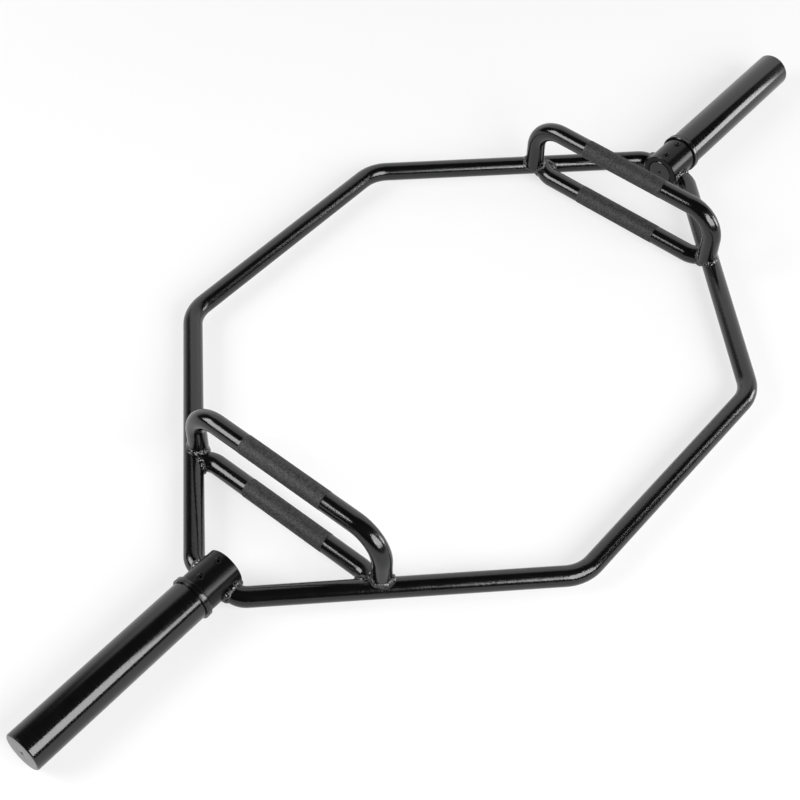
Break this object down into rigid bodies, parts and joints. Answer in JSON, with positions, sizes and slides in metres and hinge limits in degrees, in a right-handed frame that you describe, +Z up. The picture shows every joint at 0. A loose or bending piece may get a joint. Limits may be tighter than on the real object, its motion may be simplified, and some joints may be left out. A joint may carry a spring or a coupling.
{
  "type": "hex trap bar",
  "caption": "Hexagonal weight-lifting bar of welded round steel: the lifter stands inside it and grips low or raised knurled handles; plates slide on the end sleeves.",
  "frame": {"origin": "on the floor under the middle of the bar, which lies on its two stop rings", "axes": "+X along the sleeves towards the right sleeve, +Y along the handles towards the rear side bar, +Z up"},
  "size_m": [1.49, 0.651, 0.1155],
  "materials": {
    "frame_coat": "black semi-gloss coat",
    "handle_coat": "black semi-gloss coat with a knurled band",
    "weld_coat": "black gloss coat over a rippled weld bead",
    "sleeve_coat": "black gloss over fine turning marks",
    "screw_steel": "black oxide"
  },
  "bodies": {
    "frame": {"front_side_bar": "frame_coat", "rear_side_bar": "frame_coat", "left_socket": "frame_coat", "left_low_grip": "handle_coat", "left_raised_grip": "handle_coat", "left_front_arm": "frame_coat", "left_front_socket_weld": "weld_coat", "left_front_grip_weld": "weld_coat", "left_front_post_weld": "weld_coat", "left_rear_arm": "frame_coat", "left_rear_socket_weld": "weld_coat", "left_rear_grip_weld": "weld_coat", "left_rear_post_weld": "weld_coat", "right_socket": "frame_coat", "right_low_grip": "handle_coat", "right_raised_grip": "handle_coat", "right_front_arm": "frame_coat", "right_front_socket_weld": "weld_coat", "right_front_grip_weld": "weld_coat", "right_front_post_weld": "weld_coat", "right_rear_arm": "frame_coat", "right_rear_socket_weld": "weld_coat", "right_rear_grip_weld": "weld_coat", "right_rear_post_weld": "weld_coat"},
    "left_sleeve": {"left_sleeve": "sleeve_coat", "left_stop_ring": "sleeve_coat"},
    "left_inner_set_screw": {"left_inner_set_screw": "screw_steel"},
    "left_outer_set_screw": {"left_outer_set_screw": "screw_steel"},
    "right_sleeve": {"right_sleeve": "sleeve_coat", "right_stop_ring": "sleeve_coat"},
    "right_inner_set_screw": {"right_inner_set_screw": "screw_steel"},
    "right_outer_set_screw": {"right_outer_set_screw": "screw_steel"}
  },
  "joints": [
    {"name": "left_sleeve_slide", "type": "slide", "parent": "frame", "child": "left_sleeve", "axis": [-1, 0, 0], "range_m": [0, 0.055]},
    {"name": "left_inner_set_screw_turn", "type": "hinge", "parent": "frame", "child": "left_inner_set_screw", "pos_m": [-0.451, 0, 0.04875], "axis": [0, 0, 1], "range_deg": [0, 720]},
    {"name": "left_outer_set_screw_turn", "type": "hinge", "parent": "frame", "child": "left_outer_set_screw", "pos_m": [-0.479, 0, 0.04875], "axis": [0, 0, 1], "range_deg": [0, 720]},
    {"name": "right_sleeve_slide", "type": "slide", "parent": "frame", "child": "right_sleeve", "axis": [1, 0, 0], "range_m": [0, 0.055]},
    {"name": "right_inner_set_screw_turn", "type": "hinge", "parent": "frame", "child": "right_inner_set_screw", "pos_m": [0.451, 0, 0.04875], "axis": [0, 0, 1], "range_deg": [0, 720]},
    {"name": "right_outer_set_screw_turn", "type": "hinge", "parent": "frame", "child": "right_outer_set_screw", "pos_m": [0.479, 0, 0.04875], "axis": [0, 0, 1], "range_deg": [0, 720]}
  ]
}
